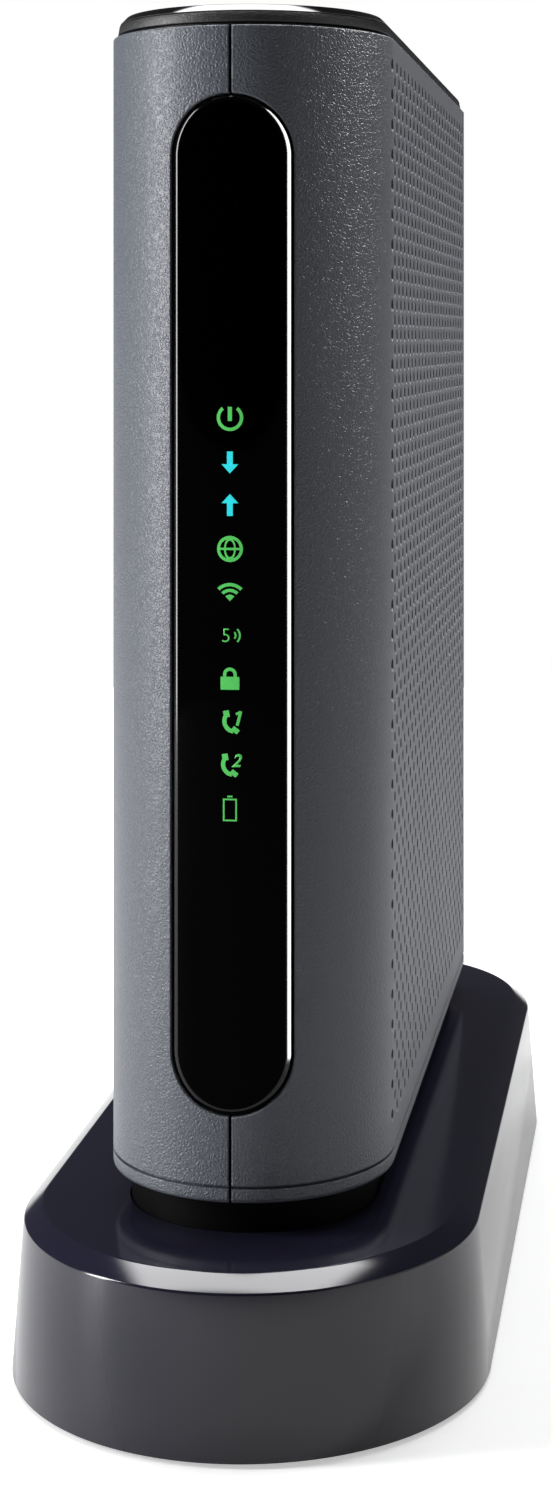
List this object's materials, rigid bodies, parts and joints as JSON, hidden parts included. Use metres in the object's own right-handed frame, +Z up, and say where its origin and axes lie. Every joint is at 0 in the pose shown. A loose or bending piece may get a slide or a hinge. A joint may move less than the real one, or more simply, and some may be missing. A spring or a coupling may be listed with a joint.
{
  "type": "cable modem",
  "caption": "Upright cable modem and Wi-Fi router with phone sockets: slim grey two-shell body, glossy icon window, black lid, standing in a wide bevelled black foot.",
  "frame": {"origin": "centre of the underside of the rubber feet, on the surface that the modem stands on", "axes": "+Z up, -Y towards the icon window at the front, +X to the right as seen from the front"},
  "size_m": [0.071, 0.21, 0.2],
  "materials": {
    "grey_shell": "blue-grey moulded ABS with a fine leather grain and satin sheen",
    "black_band": "black moulded plastic with a fine grain",
    "gloss_black": "polished black plastic",
    "display_glass": "smoked black acrylic window, polished",
    "icon_green": "translucent printed pictograms lit green from behind",
    "icon_cyan": "translucent printed arrows lit cyan from behind",
    "white_plastic": "white moulded plastic",
    "clear_plastic": "clear acrylic light guide",
    "board_green": "green solder mask over glass-fibre board",
    "tinned_steel": "tin-plated sheet steel",
    "aluminium": "extruded aluminium",
    "thermal_pad": "soft silicone pad",
    "battery_wrap": "blue shrink film over the cells",
    "nickel": "nickel-plated brass",
    "jack_black": "black glass-filled nylon",
    "black_plastic": "black moulded plastic with a fine spark grain",
    "stand_black": "dark charcoal plastic, glossy with a soft edge",
    "screw_steel": "zinc-plated steel",
    "rubber": "matte black rubber",
    "cable_grey": "grey PVC sleeve over a thin coaxial lead"
  },
  "bodies": {
    "modem": {"backup_battery": "battery_wrap", "board_screw_1": "screw_steel", "board_screw_2": "screw_steel", "board_screw_3": "screw_steel", "board_screw_4": "screw_steel", "body_floor": "black_plastic", "coax_nut": "nickel", "coax_socket": "nickel", "display_lens": "display_glass", "front_aerial": "board_green", "front_aerial_lead": "cable_grey", "heat_sink": "aluminium", "icon_film": "icon_green", "lan_jack_1": "jack_black", "lan_jack_2": "jack_black", "lan_jack_3": "jack_black", "lan_jack_4": "jack_black", "led_board": "board_green", "left_shell": "grey_shell", "lid_gloss_plate": "gloss_black", "light_baffle": "white_plastic", "light_pipes": "clear_plastic", "lower_aerial": "board_green", "lower_aerial_lead": "cable_grey", "main_board": "board_green", "pairing_switch": "jack_black", "panel_screw_1": "screw_steel", "panel_screw_2": "screw_steel", "phone_jack_1": "jack_black", "phone_jack_2": "jack_black", "plate_screw_1": "screw_steel", "plate_screw_2": "screw_steel", "plate_screw_3": "screw_steel", "plate_screw_4": "screw_steel", "power_inlet": "jack_black", "radio_shield": "tinned_steel", "rear_aerial": "board_green", "rear_panel": "black_plastic", "reset_switch": "jack_black", "right_shell": "grey_shell", "rubber_foot_1": "rubber", "rubber_foot_2": "rubber", "rubber_foot_3": "rubber", "rubber_foot_4": "rubber", "stand_neck": "black_plastic", "stand_plate": "black_plastic", "stand_screw_1": "screw_steel", "stand_screw_2": "screw_steel", "stand_screw_3": "screw_steel", "stand_shell": "stand_black", "switch_housing": "jack_black", "thermal_pad": "thermal_pad", "top_lid": "black_band", "tuner_shield": "tinned_steel"},
    "rocker": {"power_rocker": "black_plastic"},
    "pairing": {"pairing_button": "black_plastic"},
    "reset": {"reset_button": "black_plastic"}
  },
  "joints": [
    {"name": "rocker_tilt", "type": "hinge", "parent": "modem", "child": "rocker", "pos_m": [0, 0.0726, 0.1784], "axis": [1, 0, 0], "range_deg": [-20, 0]},
    {"name": "pairing_press", "type": "slide", "parent": "modem", "child": "pairing", "axis": [0, 1, 0], "range_m": [-0.0006, 0], "stiffness_N_per_m": 1500, "springref_m": 0.0003},
    {"name": "reset_press", "type": "slide", "parent": "modem", "child": "reset", "axis": [0, 1, 0], "range_m": [-0.0005, 0], "stiffness_N_per_m": 1500, "springref_m": 0.0003}
  ]
}
